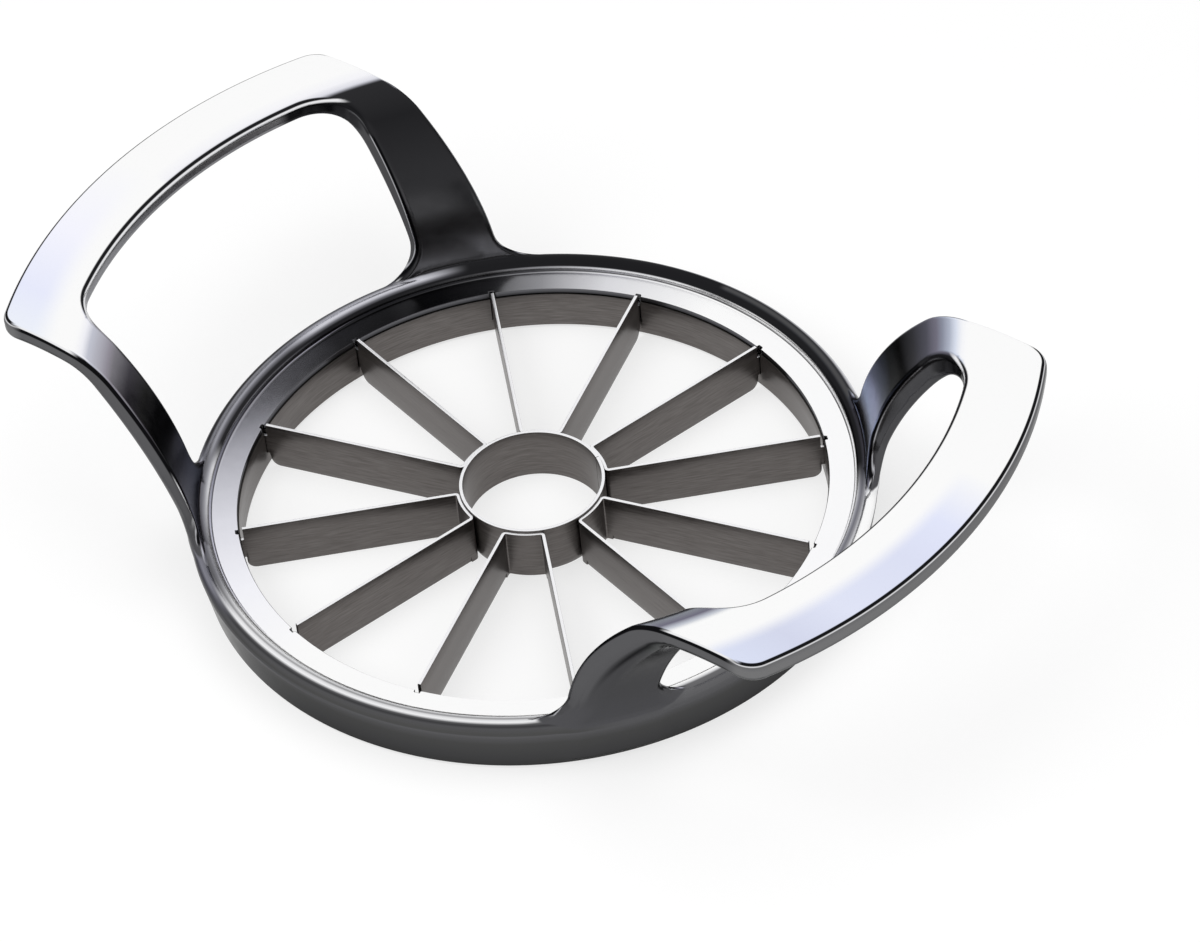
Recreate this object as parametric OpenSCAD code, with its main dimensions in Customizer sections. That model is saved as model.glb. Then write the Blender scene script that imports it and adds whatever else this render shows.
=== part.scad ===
// Apple slicer and corer: a rigid press tool with a cast frame and twelve fixed blades.
// Origin: centre of the ring on the plane that the tool rests on. +X runs through both grips, +Z is up.

/* [Ring] */
// Outer diameter of the cast ring
ring_d = 122.6; // [118:0.2:132]
// Height of the ring's flange where it meets the bead
ring_h = 9.5; // [9:0.5:14]
// Radius of the raised bead round the rim
bead_r = 2; // [1:0.1:2.4]
// Fall of the flange from the bead to its inner edge
flange_fall = 0.2; // [0:0.1:0.8]
// Thickness of the flange over the channel in the underside
flange_t = 2.4; // [1.8:0.2:3.4]
// Thickness of the outer wall at its foot
wall_t = 2.8; // [2:0.2:3.4]
// How far the outer wall draws in from the bead to its foot
wall_draft = 1.3; // [0.6:0.1:1.6]
// Thickness of the rib that carries the blade band
rib_t = 2; // [1.6:0.1:2.4]
// Chamfer at the foot of the outer wall
foot_chamfer = 0.8; // [0.4:0.1:1.4]

/* [Handles] */
// Overall length over both grips
tool_l = 183; // [176:1:200]
// Width of each handle
handle_w = 88.8; // [82:0.2:96]
// Height of the grip's crown
handle_h = 45.3; // [42:0.1:52]
// Width of the grip at its middle
grip_w = 13.3; // [11:0.1:15]
// Distance from the grip's outer edge in to its crown
crown_in = 7.5; // [6:0.5:9]
// Thickness of the grip
grip_t = 4.2; // [3.4:0.1:5]
// Radius of the grip's crown
crown_r = 45; // [38:1:60]
// Radius of the bend between arm and grip, on top
bend_r = 10; // [8:0.5:13]
// Radius of the bend between arm and grip, underneath
under_bend_r = 7; // [5:0.5:9]
// Radius of the arm's inner face, seen from the side
arm_in_r = 53.4; // [50:0.2:58]
// Radius of the arm's outer face, seen from the side
arm_out_r = 68; // [66:0.5:74]
// Height at which the arm's inner face stands upright
arm_in_z = 8; // [6:0.5:9]
// Height at which the arm's outer face stands upright, below the resting plane
arm_out_z = -4; // [-6:0.5:-2]
// Depth of the arm's inner face inside the foot of the ring's outer wall
arm_in_depth = 0.8; // [0.6:0.1:1.2]
// Depth of the arm's outer face inside the foot of the ring's outer wall
arm_out_depth = 0.3; // [0.2:0.1:0.5]
// Radius of the grip's outer corners
grip_corner_r = 5; // [2:0.5:9]
// Width of the finger opening where it is widest
opening_w = 71; // [60:1:74]
// Radius of the finger opening's outer corners
opening_corner_r = 9.5; // [5:0.5:12]
// Angle at which the opening's sides draw in towards the ring
opening_taper = 11; // [0:1:14]
// Radius of the fillets between the opening's sides and the rim
opening_fillet_r = 9.5; // [2:0.5:10]
// Radius of the fillets between the handle's outer sides and the rim
side_fillet_r = 5.5; // [2:0.5:7]

/* [Blade band] */
// Width of the rim, from the band's inner face to the ring's outer face
rim_w = 8.8; // [8.4:0.1:10]
// Thickness of the band
band_t = 0.8; // [0.6:0.1:1.2]
// Height of the band
band_h = 7.5; // [6.5:0.1:8]
// Height of the band's lower edge above the resting plane
band_lift = 0.6; // [0.2:0.1:1]
// Depth of each slot from the band's upper edge
slot_depth = 5; // [4.4:0.1:5.6]

/* [Blades] */
// Thickness of the blade strip
blade_t = 0.6; // [0.4:0.05:0.8]
// Height of the blades
blade_h = 9.8; // [9:0.1:11]
// Height of the cutting edges above the resting plane
blade_lift = 0.2; // [0.1:0.1:0.6]
// Gap between a blade's end and the band
blade_end_gap = 0.5; // [0.2:0.1:1]
// Height of the cutting bevel
bevel_h = 1.2; // [0.6:0.1:2]
// Flat left on the cutting edge
edge_flat = 0.1; // [0.05:0.01:0.2]
// Height of the end tab
tab_h = 4.2; // [3:0.1:4.4]
// Reach of the tab past the band's outer face
tab_reach = 0.7; // [0.4:0.1:0.9]
// Radius of the rounded corner below the tab
corner_r = 1.7; // [1:0.1:2.4]
// Inside radius of the folds
fold_r = 0.3; // [0.2:0.05:0.6]

/* [Core ring] */
// Bore of the core ring
core_d = 24.8; // [20:0.2:30]
// Wall of the core ring
core_t = 0.6; // [0.4:0.05:1]
// Height of the core ring
core_h = 10.2; // [9.4:0.1:11.4]

/* [Fits] */
// Gap between the band and the frame
band_gap = 0.1; // [0.05:0.01:0.2]
// Gap between a tab and the sides of its slot
tab_gap = 0.2; // [0.1:0.05:0.3]
// Gap between a tab's foot and its slot's foot
tab_foot_gap = 0.1; // [0.05:0.01:0.3]
// Gap between the bridges and the core ring, which the weld fills
weld_gap = 0.05; // [0.02:0.01:0.1]
// Step from the band's inner face back to the lip over it
lip_step = 0.2; // [0.1:0.1:0.5]
// Gap between a tab's end and its pocket
tab_end_gap = 0.4; // [0.2:0.1:0.6]
// Depth of the notch in the lip over each slot
notch_depth = 0.6; // [0.4:0.1:1]

/* [Hidden] */
$fn = 180;

pair_n = 6;                                   // strips, each folded into two blades
pair_step = 360 / pair_n;                     // angle between two strips
half_step = pair_step / 4;                    // angle from a strip's middle to each of its blades
over = 1;                                     // how far a cutting body runs past the face it cuts
lap = 0.02;                                   // how far a rounding circle crosses the lines that it joins
fold_lap = 0.005;                             // the same for the folds

ring_r = ring_d / 2;
foot_r = ring_r - wall_draft;                  // outer wall's radius at its foot
cut_r = ring_r - rim_w;                       // radius of the largest slice that it cuts
band_r = cut_r + band_t;
seat_r = band_r + band_gap;
lip_r = cut_r + lip_step;
seat_z = band_lift + band_h + band_gap;       // underside of the lip, just over the band
lip_top = ring_h - flange_fall;
bead_x = ring_r - bead_r;
channel_in = seat_r + rib_t;
channel_out = foot_r - wall_t;
channel_r = (channel_out - channel_in) / 2;
channel_x = (channel_out + channel_in) / 2;
channel_top = lip_top - flange_t;

core_r = core_d / 2;
core_out = core_r + core_t;
bridge_in = core_out + weld_gap;
bridge_out = bridge_in + blade_t;
fold_out = fold_r + blade_t;
fold_y = -(blade_t / 2 + fold_r);             // fold centre, across the blade
fold_x = sqrt(pow(bridge_out + fold_r, 2) - fold_y * fold_y);
blade_top = blade_lift + blade_h;
blade_r = cut_r - blade_end_gap;
tab_r = band_r + tab_reach;
slot_w = blade_t + 2 * tab_gap;
slot_z = band_lift + band_h - slot_depth;
tab_z = slot_z + tab_foot_gap;
pocket_r = tab_r + tab_end_gap;               // end of the pocket in the rib
pocket_top = tab_z + tab_h + tab_gap;
crest_z = ring_h + bead_r;                    // top of the bead
bevel_start = fold_x + fold_out;

grip_r = tool_l / 2;
open_r = grip_r - grip_w;
side_y = handle_w / 2;
crown_c = [grip_r - crown_in, handle_h - crown_r];
arm_in_c = [foot_r - arm_in_depth + arm_in_r, arm_in_z];
arm_out_c = [foot_r - arm_out_depth + arm_out_r, arm_out_z];
root_z = foot_chamfer + arm_out_depth;        // the handle's section starts inside the wall at this height

// Unit vector along v
function unit(v) = v / norm(v);

// Centre of a circle of radius r inside circles (c1, r1) and (c2, r2) that touches both, on their left
function inner_touch(c1, r1, c2, r2, r) =
    let (d = norm(c2 - c1),
         a = (pow(r1 - r, 2) - pow(r2 - r, 2) + d * d) / (2 * d),
         h = sqrt(pow(r1 - r, 2) - a * a),
         u = unit(c2 - c1))
    c1 + a * u + h * [u[1], -u[0]];

// Centre of a circle of radius r inside a disc of radius big about the origin that also touches a line.
// The line is dist from the origin and rises at the given angle.
function corner_centre(big, dist, angle, r) =
    (dist - r) * [-sin(angle), cos(angle)]
    + sqrt(pow(big - r, 2) - pow(dist - r, 2)) * [cos(angle), sin(angle)];

// Everything to the right of and below an arm arc and a crown arc, which a bend arc joins
module brim(arm_c, arm_r, top_c, top_r, bend)
{
    bend_c = inner_touch(arm_c, arm_r, top_c, top_r, bend);
    to_arm = unit(bend_c - arm_c);
    to_top = unit(bend_c - top_c);
    difference() {
        intersection() {
            translate(arm_c) circle(r = arm_r);
            translate(top_c) circle(r = top_r);
        }
        polygon([bend_c, bend_c + bend * to_arm, bend_c + 3 * bend * unit(to_arm + to_top),
                 bend_c + bend * to_top]);
    }
    translate(bend_c) circle(r = bend + lap);
}

// Section of the handle: the wall between the inner face and the outer face, out to the grip's edge
module handle_section()
{
    intersection() {
        difference() {
            brim(arm_in_c, arm_in_r, crown_c, crown_r, bend_r);
            brim(arm_out_c, arm_out_r, crown_c, crown_r - grip_t, under_bend_r);
        }
        translate([foot_r - wall_t / 2, root_z]) square([grip_r - foot_r + wall_t / 2, handle_h]);
    }
}

// What rounding takes off the corner between a disc of radius big and a line
module corner_waste(big, dist, angle, r)
{
    c = corner_centre(big, dist, angle, r);
    normal = [-sin(angle), cos(angle)];
    difference() {
        polygon([c, c + (r + lap) * normal, c + 3 * r * unit(unit(c) + normal), c + (r + lap) * unit(c)]);
        translate(c) circle(r = r + lap);
    }
}

// Outline of the handle from above, with its corners rounded
module handle_outline()
{
    difference() {
        intersection() {
            circle(r = grip_r);
            translate([0, -side_y]) square([grip_r, handle_w]);
        }
        for (side = [0, 1])
            mirror([0, side]) corner_waste(grip_r, side_y, 0, grip_corner_r);
    }
}

// Distance of the line along the finger opening's side from the origin
function opening_dist() =
    let (wide_x = sqrt(pow(open_r - opening_corner_r, 2) - pow(opening_w / 2 - opening_corner_r, 2)))
    opening_w / 2 * cos(opening_taper) - wide_x * sin(opening_taper);

// Outline of the finger opening from above, outside the ring's wall
module finger_outline()
{
    dist = opening_dist();
    y_start = dist / cos(opening_taper);
    y_end = y_start + grip_r * tan(opening_taper);
    difference() {
        intersection() {
            circle(r = open_r);
            polygon([[0, -y_start], [grip_r, -y_end], [grip_r, y_end], [0, y_start]]);
        }
        circle(r = foot_r - wall_t);
        for (side = [0, 1])
            mirror([0, side]) corner_waste(open_r, dist, opening_taper, opening_corner_r);
    }
}

// Fillet of radius r in the corner between the rim and a plane y = dist, on the side of larger y.
// Below the rim it fades out along a slope.
module rim_fillet(dist, r)
{
    rotate([90, 0, 90]) linear_extrude(height = grip_r) difference() {
        polygon([[dist - over, crest_z - r - over], [dist + r, crest_z], [dist + r, crest_z + r],
                 [dist - over, crest_z + r]]);
        translate([dist + r, crest_z + r]) circle(r = r + lap);
    }
}

// Finger opening, with fillets left standing in its corners at the rim
module finger_opening()
{
    difference() {
        translate([0, 0, -over]) linear_extrude(height = handle_h + 3 * over) finger_outline();
        for (side = [0, 1]) {
            mirror([0, side, 0]) rotate([0, 0, -opening_taper]) rim_fillet(-opening_dist(), opening_fillet_r);
        }
    }
}

// One raised handle on the +X side
module handle()
{
    intersection() {
        rotate_extrude() handle_section();
        union() {
            difference() {
                linear_extrude(height = handle_h + over) handle_outline();
                finger_opening();
            }
            for (side = [0, 1]) {
                mirror([0, side, 0]) rim_fillet(side_y, side_fillet_r);
            }
        }
    }
}

// Section of the ring: outer wall, bead, flange, lip and rib
module ring_section()
{
    difference() {
        union() {
            polygon([[seat_r, 0], [foot_r - foot_chamfer, 0], [foot_r, foot_chamfer],
                     [ring_r, ring_h - bead_r / 4], [bead_x, ring_h], [bead_x - bead_r, ring_h],
                     [lip_r, lip_top], [lip_r, seat_z], [seat_r, seat_z]]);
            translate([bead_x, ring_h]) circle(r = bead_r);
        }
        translate([channel_in, -over]) square([2 * channel_r, channel_top - channel_r + over]);
        translate([channel_x, channel_top - channel_r]) circle(r = channel_r);
    }
}

// Grooves for the blades' tabs in the rib, and the notches over them in the lip
module tab_pockets()
{
    for (i = [0 : 2 * pair_n - 1]) {
        rotate([0, 0, half_step + i * pair_step / 2]) {
            translate([cut_r - over, -slot_w / 2, -over])
                cube([pocket_r - cut_r + over, slot_w, pocket_top + over]);
            translate([cut_r - over, -slot_w / 2, pocket_top - over])
                cube([lip_r + notch_depth - cut_r + over, slot_w, ring_h - pocket_top + 2 * over]);
        }
    }
}

module frame()
{
    color([0.8, 0.8, 0.84]) difference() {
        union() {
            rotate_extrude() ring_section();
            handle();
            mirror([1, 0, 0]) handle();
        }
        tab_pockets();
    }
}

module blade_band()
{
    color([0.42, 0.4, 0.38]) difference() {
        translate([0, 0, band_lift]) rotate_extrude() translate([cut_r, 0]) square([band_t, band_h]);
        for (i = [0 : 2 * pair_n - 1]) {
            rotate([0, 0, half_step + i * pair_step / 2])
                translate([cut_r - over, -slot_w / 2, slot_z])
                    cube([band_t + 2 * over, slot_w, slot_depth + over]);
        }
    }
}

module core_ring()
{
    color([0.45, 0.43, 0.41]) translate([0, 0, blade_lift]) rotate_extrude()
        polygon([[core_r, 0], [core_r + edge_flat, 0], [core_out, bevel_h], [core_out, core_h],
                 [core_r, core_h]]);
}

// Point (x, y) of a plan drawn with the blade along +X, turned to where the blade stands in its strip
function on_blade(x, y) =
    [x * cos(half_step) - y * sin(half_step), x * sin(half_step) + y * cos(half_step)];

// Wedge outside a disc, between two lines that run beside the blades at the distance off.
// Its inner corners are rounded about the folds' centres.
module fold_wedge(off, disc_r, round_r)
{
    end = on_blade(tab_r + over, off);
    fold_c = on_blade(fold_x, fold_y);
    to_side = on_blade(0, 1);
    to_core = -unit(fold_c);
    difference() {
        polygon([[-off / sin(half_step), 0], end, [end[0], -end[1]]]);
        circle(r = disc_r);
        for (side = [0, 1]) {
            mirror([0, side]) difference() {
                polygon([fold_c, fold_c + (round_r + fold_lap) * to_side,
                         fold_c + 3 * round_r * unit(to_side + to_core),
                         fold_c + (round_r + fold_lap) * to_core]);
                translate(fold_c) circle(r = round_r + fold_lap);
            }
        }
    }
}

// Plan of a strip: two blades and the bridge between them, before the ends are trimmed
module strip_plan()
{
    difference() {
        fold_wedge(blade_t / 2, bridge_in, fold_out);
        fold_wedge(-blade_t / 2, bridge_out, fold_r);
    }
}

// What is punched off a blade's end, seen from the side.
// The tab is left standing and the lower corner is rounded.
module end_waste()
{
    difference() {
        translate([blade_r, blade_lift - over]) square([tab_r - blade_r + 2 * over, blade_h + 2 * over]);
        translate([blade_r - over, tab_z]) square([tab_r - blade_r + over, tab_h]);
    }
    difference() {
        translate([blade_r - corner_r, blade_lift - over]) square(corner_r + over);
        translate([blade_r - corner_r, blade_lift + corner_r]) circle(r = corner_r + lap);
    }
}

// Folded strip number i, counted from the one that faces +X
module blade_pair(i)
{
    color([0.5, 0.48, 0.46]) rotate([0, 0, i * pair_step]) difference() {
        translate([0, 0, blade_lift]) linear_extrude(height = blade_h) strip_plan();
        for (side = [0, 1]) {
            mirror([0, side, 0]) rotate([0, 0, half_step]) {
                rotate([90, 0, 0]) linear_extrude(height = 4 * blade_t, center = true) end_waste();
                translate([bevel_start, 0, blade_lift]) rotate([90, 0, 90]) linear_extrude(height = cut_r)
                    bevel_waste();
            }
        }
    }
}

// What is ground off both sides of a blade's lower edge, seen along the blade
module bevel_waste()
{
    for (side = [-1, 1])
        polygon([[side * edge_flat / 2, 0], [side * blade_t / 2, bevel_h], [side * blade_t, bevel_h],
                 [side * blade_t, -over], [side * edge_flat / 2, -over]]);
}

frame();
blade_band();
core_ring();
blade_pair(0);  // blade_pair_1
blade_pair(1);  // blade_pair_2
blade_pair(2);  // blade_pair_3
blade_pair(3);  // blade_pair_4
blade_pair(4);  // blade_pair_5
blade_pair(5);  // blade_pair_6
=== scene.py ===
"""Looks of a rigid apple slicer: a chromed casting that carries a band, twelve blades and a core ring.

Sizes are in millimetres and become metres where a mesh is written. +X runs through both grips, +Z is up.
"""

import sys

import logging
from collections.abc import Callable
from dataclasses import dataclass
from enum import Enum
from math import cos, radians, sin

import bpy
import numpy as np
from mathutils import Matrix, Vector


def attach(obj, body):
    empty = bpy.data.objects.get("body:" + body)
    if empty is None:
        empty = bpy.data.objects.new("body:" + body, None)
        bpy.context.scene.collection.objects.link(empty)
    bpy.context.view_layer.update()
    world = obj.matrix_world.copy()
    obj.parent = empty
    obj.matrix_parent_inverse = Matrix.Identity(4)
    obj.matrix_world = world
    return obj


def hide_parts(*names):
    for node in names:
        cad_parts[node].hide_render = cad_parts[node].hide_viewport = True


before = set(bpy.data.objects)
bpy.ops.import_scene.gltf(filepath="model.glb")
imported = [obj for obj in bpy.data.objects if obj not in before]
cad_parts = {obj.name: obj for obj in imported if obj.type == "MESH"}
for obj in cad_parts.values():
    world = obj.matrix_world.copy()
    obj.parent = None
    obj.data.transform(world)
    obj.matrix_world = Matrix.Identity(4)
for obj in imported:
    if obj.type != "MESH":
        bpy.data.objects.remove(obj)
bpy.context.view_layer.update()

LOG = logging.getLogger("slicer")
MM = 0.001
BODY = "root"
# Millimetres in which a strip's section steps from one size to another
TIGHT = 1e-3


class Slot(Enum):
    """Material slots of the record."""

    CASTING = "casting"
    STEEL = "blade_steel"


@dataclass
class Piece:
    """A sub-assembly that makes one visible piece."""

    def build(self) -> bpy.types.Object:
        """Makes the piece's object. Each class of piece has its own."""
        raise NotImplementedError

    def dress(self, material: bpy.types.Material, slot: Slot, node: str) -> None:
        """Builds the piece, gives it its finish, ties it to the body and lets it stand for a CAD node.

        Args:
            material: the finish.
            slot: material slot of the record; not used.
            node: the CAD node that it replaces.
        """
        piece = self.build()
        piece.data.materials.clear()
        piece.data.materials.append(material)
        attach(piece, BODY)
        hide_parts(node)
        LOG.info("%s stands for %s", piece.name, node)


# Distance fields


def unit(v: np.ndarray) -> np.ndarray:
    """v divided by its length, along the last axis."""
    return v / np.maximum(np.linalg.norm(v, axis=-1, keepdims=True), 1e-12)


def round_max(a: np.ndarray, b: np.ndarray, radius: float) -> np.ndarray:
    """Intersection of two solids whose shared edge is rounded.

    Inside the band where both distances are over -radius, the result is the length of
    (a + radius, b + radius) less radius, and elsewhere it is the larger of the two.

    Args:
        a: distance to the first solid, negative inside.
        b: distance to the second solid.
        radius: radius of the rounding.

    Returns:
        Distance to what the two share.
    """
    corner = np.hypot(np.maximum(a + radius, 0), np.maximum(b + radius, 0)) - radius
    return np.minimum(np.maximum(a, b), -radius) + np.maximum(corner, -radius) + radius


def smooth_min(a: np.ndarray, b: np.ndarray, width: float) -> np.ndarray:
    """Union of two solids with a soft fillet: the smaller distance, less h * h * width / 4.

    Here h falls from 1 where the two are equal to 0 where they differ by width.
    """
    h = np.maximum(width - np.abs(a - b), 0) / width
    return np.minimum(a, b) - h * h * width / 4


def fillet_union(a: np.ndarray, b: np.ndarray, radius: float) -> np.ndarray:
    """Union of two solids whose inner corner holds a fillet of the given radius.

    The fillet is what lies outside a circle that touches both faces, so the distance is
    max(radius, min(a, b)) less the length of what a and b fall short of radius.
    """
    short = np.hypot(np.maximum(radius - a, 0), np.maximum(radius - b, 0))
    return np.maximum(radius, np.minimum(a, b)) - short


def lens(p: np.ndarray, q: np.ndarray, one: tuple, two: tuple, corner: tuple, radius: float) -> np.ndarray:
    """Distance to the overlap of two discs, whose corner is a circle of the given radius.

    Both discs are drawn in by radius, the distance to their sharp overlap is taken, and radius is
    given back. Past the corner the nearest point is the corner itself.

    Args:
        p: first coordinate of the points.
        q: second coordinate of the points.
        one: centre and radius of the first disc, as (p, q, r).
        two: the same for the second disc.
        corner: centre of the rounding circle.
        radius: radius of the rounding circle.

    Returns:
        Distance, negative inside.
    """
    gaps = []
    for (cp, cq, r), (op, oq, other) in ((one, two), (two, one)):
        away = np.maximum(np.hypot(p - cp, q - cq), 1e-9)
        near_p = cp + (p - cp) * (r - radius) / away
        near_q = cq + (q - cq) * (r - radius) / away
        on_edge = np.hypot(near_p - op, near_q - oq) <= other - radius + 1e-9
        gaps.append((away - (r - radius), on_edge))
    inside = np.maximum(gaps[0][0], gaps[1][0])
    to_corner = np.hypot(p - corner[0], q - corner[1])
    outside = np.minimum(
        np.where(gaps[0][1] & (gaps[0][0] > 0), gaps[0][0], to_corner),
        np.where(gaps[1][1] & (gaps[1][0] > 0), gaps[1][0], to_corner),
    )
    return np.where(inside <= 0, inside, outside) - radius


def slice_of_disc(x: np.ndarray, y: np.ndarray, big: float, dist: float, angle: float,
                  radius: float) -> np.ndarray:
    """Distance to a disc about the origin cut by a line, with the corner between them rounded.

    The line lies dist from the origin and rises at the given angle. Disc and line are drawn in by
    radius, the distance to the sharp shape is taken, and radius is given back.

    Args:
        x: first coordinate of the points.
        y: second coordinate, not negative.
        big: radius of the disc.
        dist: distance of the line from the origin.
        angle: angle of the line to X, in degrees.
        radius: radius of the corner.

    Returns:
        Distance, negative inside.
    """
    c, s = cos(radians(angle)), sin(radians(angle))
    along, across = x * c + y * s, y * c - x * s
    r_in, d_in = big - radius, dist - radius
    end = (r_in**2 - d_in**2) ** 0.5
    away = np.maximum(np.hypot(along, across), 1e-9)
    disc, line = away - r_in, across - d_in
    on_disc = (across * r_in / away <= d_in) & (disc > 0)
    on_line = (along <= end) & (line > 0)
    to_corner = np.hypot(along - end, across - d_in)
    outside = np.where(on_disc, disc, np.where(on_line, line, to_corner))
    return np.where(np.maximum(disc, line) <= 0, np.maximum(disc, line), outside) - radius


def polygon_distance(p: np.ndarray, q: np.ndarray, corners: list[tuple]) -> np.ndarray:
    """Distance to a closed polygon: to the nearest edge, negative where a ray crosses an odd number of them.

    Args:
        p: first coordinate of the points.
        q: second coordinate of the points.
        corners: the polygon's corners in order.

    Returns:
        Distance, negative inside.
    """
    near = np.full(np.shape(p), 1e9)
    inside = np.zeros(np.shape(p), bool)
    for (ap, aq), (bp, bq) in zip(corners, corners[1:] + corners[:1]):
        ep, eq = bp - ap, bq - aq
        t = np.clip(((p - ap) * ep + (q - aq) * eq) / (ep * ep + eq * eq), 0, 1)
        near = np.minimum(near, np.hypot(p - ap - t * ep, q - aq - t * eq))
        if aq != bq:
            inside ^= ((q < aq) != (q < bq)) & (p < ap + (q - aq) * ep / eq)
    return np.where(inside, -near, near)


def inner_touch(one: tuple, two: tuple, r: float) -> tuple:
    """Centre of a circle inside two circles that touches both, on their left.

    Args:
        one: centre and radius of the first circle, as (p, q, radius).
        two: the same for the second circle.
        r: radius of the circle inside them.

    Returns:
        The centre, as (p, q).
    """
    c1, c2 = np.array(one[:2]), np.array(two[:2])
    d = np.linalg.norm(c2 - c1)
    a = ((one[2] - r) ** 2 - (two[2] - r) ** 2 + d * d) / (2 * d)
    h = ((one[2] - r) ** 2 - a * a) ** 0.5
    u = (c2 - c1) / d
    return tuple(c1 + a * u + h * np.array([u[1], -u[0]]))


# Meshes


def steps(*runs: tuple) -> np.ndarray:
    """Grid lines from runs of (start, end, step), each run divided evenly."""
    lines = [np.linspace(a, b, max(1, round((b - a) / s)), endpoint=False) for a, b, s in runs]
    return np.concatenate(lines + [np.array([runs[-1][1]])])


def outward(verts: np.ndarray, faces: np.ndarray) -> np.ndarray:
    """Turns the quads of a closed mesh outwards, which is where its volume is positive.

    Args:
        verts: points.
        faces: rows of four corner numbers, all in the same sense.

    Returns:
        The faces in outward order.
    """
    a, b, c, d = (verts[faces[:, n]] for n in range(4))
    volume = (a * np.cross(b, c)).sum() + (a * np.cross(c, d)).sum()
    return faces if volume > 0 else faces[:, ::-1]


def write_mesh(name: str, verts: np.ndarray, faces: np.ndarray, normals: np.ndarray | None = None,
               crease: float | None = None) -> bpy.types.Object:
    """Makes an object at the origin from points in millimetres and quads.

    Args:
        name: name of the piece.
        verts: points, in millimetres.
        faces: rows of four corner numbers, all in the same sense.
        normals: normals of the points, where the shading doesn't come from the faces.
        crease: angle in degrees over which an edge is shaded sharp.

    Returns:
        The object.
    """
    faces = outward(verts, faces)
    mesh = bpy.data.meshes.new(name)
    mesh.vertices.add(len(verts))
    mesh.vertices.foreach_set("co", (verts * MM).astype(np.float32).ravel())
    mesh.loops.add(faces.size)
    mesh.loops.foreach_set("vertex_index", faces.astype(np.int32).ravel())
    mesh.polygons.add(len(faces))
    mesh.polygons.foreach_set("loop_start", np.arange(len(faces), dtype=np.int32) * 4)
    mesh.polygons.foreach_set("use_smooth", np.ones(len(faces), bool))
    mesh.update(calc_edges=True)
    mesh.validate()
    if normals is not None:
        mesh.normals_split_custom_set_from_vertices(normals.astype(np.float32))
    if crease is not None:
        mesh.set_sharp_from_angle(angle=radians(crease))
    piece = bpy.data.objects.new(name, mesh)
    bpy.context.scene.collection.objects.link(piece)
    return piece


def neighbours(a: np.ndarray, axis: int) -> tuple[np.ndarray, np.ndarray]:
    """Grid corners and the ones a step ahead of them. Axis 1, theta, closes on itself.

    Args:
        a: values at the grid's corners, shape (r, theta, z, ...).
        axis: axis of the step.

    Returns:
        Values here and ahead.
    """
    if axis == 1:
        return a, np.roll(a, -1, 1)
    return (a[:-1], a[1:]) if axis == 0 else (a[:, :, :-1], a[:, :, 1:])


def surface_net(f: np.ndarray, place: np.ndarray) -> tuple[np.ndarray, np.ndarray]:
    """Surface where a field on a grid round the Z axis is zero, one point in each cell that it crosses.

    A cell's point is the mean of the places where the field changes sign along the cell's twelve edges.
    Each grid edge with a change of sign gives one face between the four cells round it.

    Args:
        f: field at the grid's corners, shape (r, theta, z), negative inside. Theta closes on itself.
        place: the corners' places, shape (r, theta, z, 3).

    Returns:
        Points as (x, y, z) rows, and faces as rows of four numbers in outward order.
    """
    nr, nt, nz = f.shape
    cells = (nr - 1, nt, nz - 1)
    total = np.zeros(cells + (3,))
    count = np.zeros(cells)
    quads = []
    for axis in range(3):
        here, ahead = neighbours(f, axis)
        place_here, place_ahead = neighbours(place, axis)
        i, j, k = np.nonzero((here < 0) != (ahead < 0))
        a, b = here[i, j, k], ahead[i, j, k]
        t = (a / (a - b))[:, None]
        cut = place_here[i, j, k] * (1 - t) + place_ahead[i, j, k] * t
        others = [n for n in range(3) if n != axis]
        ring = []
        for du, dv in ((-1, -1), (0, -1), (0, 0), (-1, 0)):
            cell = [part.copy() for part in (i, j, k)]
            cell[others[0]] += du
            cell[others[1]] += dv
            cell[1] %= nt
            ring.append(cell)
        good = np.ones(len(i), bool)
        for cell in ring:
            good &= (cell[0] >= 0) & (cell[0] < nr - 1) & (cell[2] >= 0) & (cell[2] < nz - 1)
        codes = []
        for cell in ring:
            c = [part[good] for part in cell]
            np.add.at(total, tuple(c), cut[good])
            np.add.at(count, tuple(c), 1)
            codes.append(np.ravel_multi_index(c, cells))
        quad = np.stack(codes, 1)
        turn = (a[good] < 0) ^ (axis == 1)
        quads.append(np.where(turn[:, None], quad, quad[:, ::-1]))
    used = np.flatnonzero(count.ravel())
    number = np.full(count.size, -1)
    number[used] = np.arange(len(used))
    verts = total.reshape(-1, 3)[used] / count.ravel()[used][:, None]
    return verts, number[np.concatenate(quads)]


def settle(field_at: Callable, verts: np.ndarray, rounds: int = 4, reach: float = 0.25, h: float = 0.02,
           least: float = 0.25) -> tuple[np.ndarray, np.ndarray]:
    """Moves points onto a field's zero surface along its slope, and gives the surface's normals there.

    Each round steps by field / slope, no further than reach, with the slope from central differences.

    Args:
        field_at: function of an (n, 3) array of points.
        verts: points near the surface.
        rounds: number of steps.
        reach: longest step.
        h: half of the distance that a difference is taken over.
        least: least square of the slope that a step divides by.

    Returns:
        The moved points and the unit normals.
    """
    for turn in range(rounds + 1):
        slope = np.stack([
            (field_at(verts + h * np.eye(3)[n]) - field_at(verts - h * np.eye(3)[n])) / (2 * h)
            for n in range(3)], -1)
        if turn == rounds:
            break
        push = field_at(verts) / np.maximum((slope**2).sum(-1), least)
        move = -push[:, None] * slope
        size = np.linalg.norm(move, axis=-1, keepdims=True)
        verts = verts + move * np.minimum(1, reach / np.maximum(size, 1e-9))
    return verts, unit(slope)


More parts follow.
